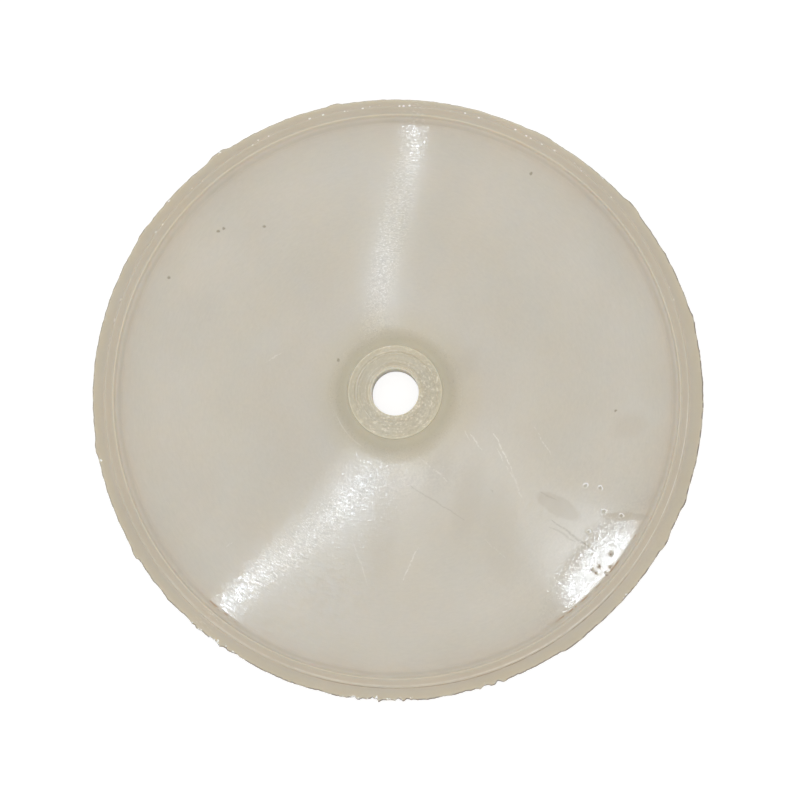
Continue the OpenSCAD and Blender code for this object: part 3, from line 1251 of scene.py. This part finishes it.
    def ring_line(
        self,
        sheet: NodeSheet,
        shelf: EffectShelf,
        place: SkinPlace,
        middle: float,
        half_width: float,
        direction: float,
        half: float,
        strength: float,
    ) -> bpy.types.NodeSocket:
        """Mask of one line round the axis, for the painted highlight and shade lines.

        Args:
            sheet: The material's sheet.
            shelf: The shared shader groups.
            place: Where on the disc the skin is.
            middle: The line's radius in millimetres.
            half_width: Half its width in millimetres.
            direction: Direction of its middle in degrees.
            half: Half the angle that it covers, above 180 for a whole ring.
            strength: Its strength from 0 to 1.

        Returns:
            The mask.
        """
        line = sheet.add(
            "ShaderNodeGroup",
            {"Radius": place.radius, "Middle": middle, "Half width": half_width},
            node_tree=shelf.line,
        )
        mask = sheet.math("MULTIPLY", sheet.math("MULTIPLY", line.outputs["Mask"], strength), place.top)
        broken = sheet.add("ShaderNodeTexNoise", {"Vector": place.flat, "Scale": 0.45, "Detail": 2.0})
        mask = sheet.math("MULTIPLY", mask, sheet.span(broken.outputs[0], 0.3, 0.6, 0.25, 1.0))
        if half > 180:
            return mask
        return sheet.math("MULTIPLY", mask, self.facing(sheet, place, direction, half))

    @staticmethod
    def arcs(sheet: NodeSheet, shelf: EffectShelf, place: SkinPlace) -> bpy.types.NodeSocket:
        """Short polished arcs that the turning tool left, from 0 to 1."""
        grain = sheet.add(
            "ShaderNodeGroup", {"Position": place.point, "Across": 3.0, "Around": 28.0}, node_tree=shelf.grain
        )
        centred = sheet.math("MULTIPLY", sheet.math("SUBTRACT", grain.outputs[0], 0.5), place.web)
        return sheet.math("ADD", centred, 0.5)

    @staticmethod
    def edge_shadow_line(sheet: NodeSheet, place: SkinPlace) -> bpy.types.NodeSocket:
        """Mask of the painted shadow line along the trimmed edge, strongest at the lower right."""
        lower = sheet.span(sheet.math("SUBTRACT", place.x, place.y), -40.0, 40.0, 0.6, 0.95)
        parts = sheet.add("ShaderNodeTexNoise", {"Vector": place.point, "Scale": 0.7, "Detail": 3.0})
        kept = sheet.span(parts.outputs[0], 0.42, 0.52, 0.35, 1.0)
        rim = sheet.math("MULTIPLY", sheet.span(place.edge, 0.84, 0.95), sheet.span(place.z, 3.4, 4.4, 0.1, 1.0))
        return sheet.math("MULTIPLY", rim, sheet.math("MULTIPLY", lower, kept))

    @staticmethod
    def knife_lines(sheet: NodeSheet, place: SkinPlace) -> bpy.types.NodeSocket:
        """Share of light on the cut wall, with the faint upright lines that the knife drew."""
        squeezed = sheet.vector("MULTIPLY", place.point, (1.0, 1.0, 0.12)).outputs[0]
        cut = sheet.add("ShaderNodeTexNoise", {"Vector": squeezed, "Scale": 1.6, "Detail": 4.0, "Roughness": 0.6})
        wall = sheet.math("MULTIPLY", sheet.span(place.edge, 0.9, 1.0), sheet.span(place.z, 4.75, 4.5))
        ripple = sheet.math("MULTIPLY", sheet.math("SUBTRACT", cut.outputs[0], 0.5), 0.35)
        return sheet.math("ADD", 1.0, sheet.math("MULTIPLY", wall, ripple))

    @staticmethod
    def torn_edge_glints(sheet: NodeSheet, place: SkinPlace) -> bpy.types.NodeSocket:
        """Mask of the white flecks along the torn edge: painted glints of its torn facets."""
        speckle = sheet.add(
            "ShaderNodeTexNoise", {"Vector": place.point, "Scale": 1.3, "Detail": 3.0, "Roughness": 0.7}
        )
        lift = sheet.math("MULTIPLY", sheet.math("SUBTRACT", place.torn, 1.0), 0.5)
        reach = sheet.math("ADD", speckle.outputs[0], lift)
        some = sheet.math("MULTIPLY", sheet.span(place.torn, 0.2, 0.45), sheet.span(place.z, 2.8, 4.3, 0.12, 1.0))
        return sheet.math("MULTIPLY", sheet.span(reach, 0.42, 0.47), some)

    @staticmethod
    def face_specks(
        sheet: NodeSheet, shelf: EffectShelf, place: SkinPlace
    ) -> tuple[bpy.types.NodeSocket, bpy.types.NodeSocket]:
        """Masks of the light and the dark specks on the boss's face, strongest on its lower right; the light ones are
        partly the tool's grain and partly painted sparkle highlights.
        """
        grain = sheet.add(
            "ShaderNodeGroup", {"Position": place.point, "Across": 2.6, "Around": 10.0}, node_tree=shelf.grain
        )
        lower = sheet.span(sheet.math("SUBTRACT", place.x, place.y), -6.0, 5.0, 0.3, 0.75)
        share = sheet.math("MULTIPLY", lower, place.face)
        light = sheet.math("MULTIPLY", sheet.span(grain.outputs[0], 0.54, 0.66), share)
        dark = sheet.math("MULTIPLY", sheet.span(grain.outputs[0], 0.47, 0.38), share)
        return light, sheet.math("MULTIPLY", dark, 0.5)

    @staticmethod
    def burrs(sheet: NodeSheet, shelf: EffectShelf, place: SkinPlace) -> bpy.types.NodeSocket:
        """Mask of the painted glints on the tiny burrs along the crest line."""
        line = sheet.add(
            "ShaderNodeGroup", {"Radius": place.radius, "Middle": 52.0, "Half width": 0.4}, node_tree=shelf.line
        )
        dots = sheet.add("ShaderNodeTexVoronoi", {"Vector": place.flat, "Scale": 1.1, "Randomness": 1.0})
        chance = sheet.add("ShaderNodeSeparateColor", {0: dots.outputs["Color"]}).outputs[0]
        dot = sheet.math("MULTIPLY", sheet.span(dots.outputs["Distance"], 0.32, 0.18), sheet.span(chance, 0.5, 0.55))
        some = sheet.span(place.y, 2.0, 42.0)
        return sheet.math("MULTIPLY", sheet.math("MULTIPLY", dot, line.outputs["Mask"]), some)

    def gloss(
        self,
        sheet: NodeSheet,
        shelf: EffectShelf,
        place: SkinPlace,
        wet: bpy.types.NodeSocket,
        dull: bpy.types.NodeSocket,
        lines: bpy.types.NodeSocket,
    ) -> bpy.types.NodeSocket:
        """Roughness of the skin, broken into short polished arcs.

        Args:
            sheet: The material's sheet.
            shelf: The shared shader groups.
            place: Where on the disc the skin is.
            wet: Mask of the smooth granules.
            dull: Mask of the dull skin between them.
            lines: Mask of the light scratches.

        Returns:
            The roughness.
        """
        arcs = sheet.span(self.arcs(sheet, shelf, place), 0.4, 0.6, 1.6, 0.62)
        rough = sheet.math("MULTIPLY", arcs, self.roughness)
        rough = sheet.math("ADD", rough, sheet.span(place.radius, 48.95, 49.4, 0.0, 0.27))
        rough = sheet.math("ADD", rough, sheet.span(place.radius, 9.4, 8.2, 0.0, 0.08))
        foot = sheet.math("MULTIPLY", sheet.span(place.radius, 13.0, 11.0), sheet.span(place.radius, 8.0, 9.0))
        rough = sheet.math("ADD", rough, sheet.math("MULTIPLY", foot, 0.25))
        rough = sheet.math("ADD", rough, sheet.span(place.radius, 4.5, 4.3, 0.0, 0.4))
        rough = sheet.math("MULTIPLY", rough, sheet.span(wet, 0.0, 1.0, 1.0, 0.5))
        rough = sheet.math("ADD", rough, sheet.math("MULTIPLY", dull, 0.22))
        rough = sheet.math("ADD", rough, sheet.span(place.top, 0.0, 1.0, 0.28, 0.0))
        return sheet.math("ADD", rough, sheet.math("MULTIPLY", lines, 0.25), clamp=True)

    def relief(
        self, sheet: NodeSheet, shelf: EffectShelf, place: SkinPlace, wet: bpy.types.NodeSocket
    ) -> bpy.types.NodeSocket:
        """Normal of the skin from its fine relief.

        Args:
            sheet: The material's sheet.
            shelf: The shared shader groups.
            place: Where on the disc the skin is.
            wet: Mask of the wet lens.

        Returns:
            The bent normal.
        """
        grain = sheet.add(
            "ShaderNodeGroup", {"Position": place.point, "Across": 3.0, "Around": 28.0}, node_tree=shelf.grain
        )
        turned = sheet.math("MULTIPLY", grain.outputs[0], sheet.span(wet, 0.0, 1.0, 0.6, 0.35))
        turned = sheet.math("MULTIPLY", turned, sheet.math("MULTIPLY", place.web, sheet.span(place.radius, 12.0, 22.0, 0.4, 1.0)))
        skin = sheet.add("ShaderNodeTexNoise", {"Vector": place.point, "Scale": 1.3, "Detail": 3.0, "Roughness": 0.6})
        wave = sheet.add("ShaderNodeTexNoise", {"Vector": place.point, "Scale": 2.0, "Detail": 3.0, "Roughness": 0.65})
        level = sheet.math("ADD", sheet.math("MULTIPLY", place.web, 0.2), sheet.math("MULTIPLY", place.face, 4.0))
        level = sheet.math("ADD", level, sheet.span(place.top, 0.0, 1.0, 0.8, 0.0))
        ripple = sheet.math("MULTIPLY", skin.outputs[0], level)
        near = sheet.math("MULTIPLY", sheet.span(place.radius, 24.0, 14.0, 0.0, 0.55), place.web)
        wavy = sheet.math("ADD", near, sheet.math("MULTIPLY", wet, 0.25))
        ripple = sheet.math("ADD", ripple, sheet.math("MULTIPLY", wave.outputs[0], wavy))
        height = sheet.math("ADD", turned, ripple)
        bump = sheet.add("ShaderNodeBump", {"Strength": 1.0, "Distance": 0.00001, "Height": height})
        return bump.outputs[0]


@dataclass
class Studio:
    """White table, soft light, three ceiling lamps and the camera."""

    eye: tuple[float, float, float] = (13.884, -36.982, 327.761)
    aim: tuple[float, float, float] = (0.709, -0.935, 0.0)
    focal: float = 82.51
    lamp_height: float = 600.0
    # Both ends of each lamp's mirror image on the web, its width there, and its power
    lamps: tuple[tuple[str, Point2, Point2, float, float], ...] = (
        ("ceiling_lamp_back", (3.8, 51.5), (-4.0, 12.0), 0.9, 0.0106),
        ("ceiling_lamp_back_end", (4.4, 51.0), (3.85, 47.2), 1.0, 0.017),
        ("ceiling_lamp_back_low", (-0.8, 28.0), (-3.5, 12.5), 0.9, 0.013),
        ("ceiling_lamp_front", (-32.6, -39.7), (-1.5, -15.4), 1.3, 0.044),
        ("ceiling_lamp_front_end", (-32.3, -39.7), (-28.6, -36.8), 1.9, 0.021),
        ("ceiling_lamp_front_low", (-8.5, -18.0), (-4.0, -14.0), 2.0, 0.007),
        ("ceiling_lamp_near", (-10.5, -16.5), (6.5, -12.4), 2.4, 0.029),
        ("ceiling_lamp_glow", (8.0, -13.0), (21.0, -8.5), 6.9, 0.006),
        ("ceiling_lamp_right", (29.6, -38.6), (43.4, -23.6), 8.2, 0.07),
    )

    def build(self, web_t: float) -> None:
        """Sets up table, light and camera.

        Args:
            web_t: Height of the web that mirrors the lamps, in millimetres.
        """
        self.table()
        self.world()
        for lamp in self.lamps:
            self.ceiling_lamp(web_t, *lamp)
        self.camera()

    @staticmethod
    def table() -> None:
        """Adds the white table that keeps the object's shadow."""
        Workbench.clear()
        bpy.ops.mesh.primitive_plane_add(size=4, location=(0, 0, -0.00002))
        table = bpy.context.object
        table.name = table.data.name = "white_table"
        bpy.ops.object.mode_set(mode="EDIT")
        bpy.ops.mesh.select_all(action="SELECT")
        bpy.ops.mesh.subdivide(number_cuts=3)
        bpy.ops.object.mode_set(mode="OBJECT")
        material = bpy.data.materials.new("white_table_top")
        material.use_nodes = True
        sheet = NodeSheet(material.node_tree)
        sheet.tree.nodes.clear()
        matt = sheet.add("ShaderNodeBsdfDiffuse", {"Color": (0.32, 0.315, 0.31, 1.0)})
        paths = sheet.add("ShaderNodeLightPath")
        seen = sheet.math("MAXIMUM", paths.outputs["Is Camera Ray"], paths.outputs["Is Glossy Ray"])
        seen = sheet.math("MAXIMUM", seen, paths.outputs["Is Transmission Ray"])
        glow = sheet.add("ShaderNodeEmission", {"Strength": sheet.math("MULTIPLY", seen, 0.8)})
        both = sheet.add("ShaderNodeAddShader", {0: matt.outputs[0], 1: glow.outputs[0]})
        sheet.add("ShaderNodeOutputMaterial", {"Surface": both.outputs[0]})
        table.data.materials.append(material)

    @staticmethod
    def world() -> None:
        """Lights the scene evenly and shows plain white behind it."""
        world = bpy.data.worlds.new("studio_white")
        bpy.context.scene.world = world
        world.use_nodes = True
        sheet = NodeSheet(world.node_tree)
        sheet.tree.nodes.clear()
        paths = sheet.add("ShaderNodeLightPath")
        seen = sheet.math("MAXIMUM", paths.outputs["Is Camera Ray"], paths.outputs["Is Transmission Ray"])
        strength = sheet.math("ADD", 0.95, sheet.math("MULTIPLY", seen, 0.05))
        back = sheet.add("ShaderNodeBackground", {"Color": (1.0, 0.995, 0.985, 1.0), "Strength": strength})
        sheet.add("ShaderNodeOutputWorld", {"Surface": back.outputs[0]})

    def mirrored(self, at: Point2, web_t: float) -> Vector:
        """Where a lamp must be for the web to mirror it at one place.

        Args:
            at: Place on the web in millimetres.
            web_t: Height of the web in millimetres.

        Returns:
            The lamp's place in millimetres.
        """
        share = self.lamp_height / (self.eye[2] - web_t)
        x = at[0] + (at[0] - self.eye[0]) * share
        y = at[1] + (at[1] - self.eye[1]) * share
        return Vector((x, y, self.lamp_height + web_t))

    def ceiling_lamp(self, web_t: float, name: str, start: Point2, stop: Point2, width: float, power: float) -> None:
        """Hangs one long lamp that the web mirrors.

        Args:
            web_t: Height of the web in millimetres.
            name: The lamp's name.
            start: One end of its mirror image.
            stop: The other end.
            width: Width of its mirror image.
            power: Its power in watts.
        """
        first, last = self.mirrored(start, web_t), self.mirrored(stop, web_t)
        way = last - first
        light = bpy.data.lights.new(name, "AREA")
        light.shape = "ELLIPSE" if width > 7 else "RECTANGLE"
        light.size = way.length * MM
        light.size_y = width * (1 + self.lamp_height / (self.eye[2] - web_t)) * MM
        light.energy = power
        light.color = (0.76, 0.87, 1.0)
        lamp = bpy.data.objects.new(name, light)
        bpy.context.scene.collection.objects.link(lamp)
        lamp.location = (first + last) / 2 * MM
        lamp.rotation_euler = (0, 0, math.atan2(way.y, way.x))
        lamp.visible_camera = False

    def camera(self) -> None:
        """Places the camera as the photograph was taken."""
        data = bpy.data.cameras.new("portrait_camera")
        data.lens = self.focal
        data.sensor_width = 36
        data.sensor_fit = "HORIZONTAL"
        data.clip_start = 0.01
        camera = bpy.data.objects.new("portrait_camera", data)
        bpy.context.scene.collection.objects.link(camera)
        eye, aim = Vector(self.eye) * MM, Vector(self.aim) * MM
        ahead = (aim - eye).normalized()
        right = ahead.cross(Vector((0, 1, 0))).normalized()
        above = right.cross(ahead)
        turn = Matrix((right, above, -ahead)).transposed()
        camera.matrix_world = Matrix.Translation(eye) @ turn.to_4x4()
        bpy.context.scene.camera = camera


def main() -> None:
    """Builds the casting, its finish and the studio."""
    logging.basicConfig(level=logging.INFO, format="%(name)s: %(message)s")
    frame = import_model()
    bpy.context.scene.view_settings.view_transform = "Standard"
    casting_sizes = Casting()
    casting = casting_sizes.build(TrimPath(frame["nodes"]["diaphragm"]))
    casting.data.materials.clear()
    bubbles = tuple(mark.at for mark in casting_sizes.marks if mark.shape is Shape.BUBBLE)
    casting.data.materials.append(CastUrethane(bubbles=bubbles).build(EffectShelf()))
    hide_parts("diaphragm")
    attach(casting, "root")
    LOG.info("studio")
    Studio().build(casting_sizes.web_t)


if __name__ == "__main__":
    main()
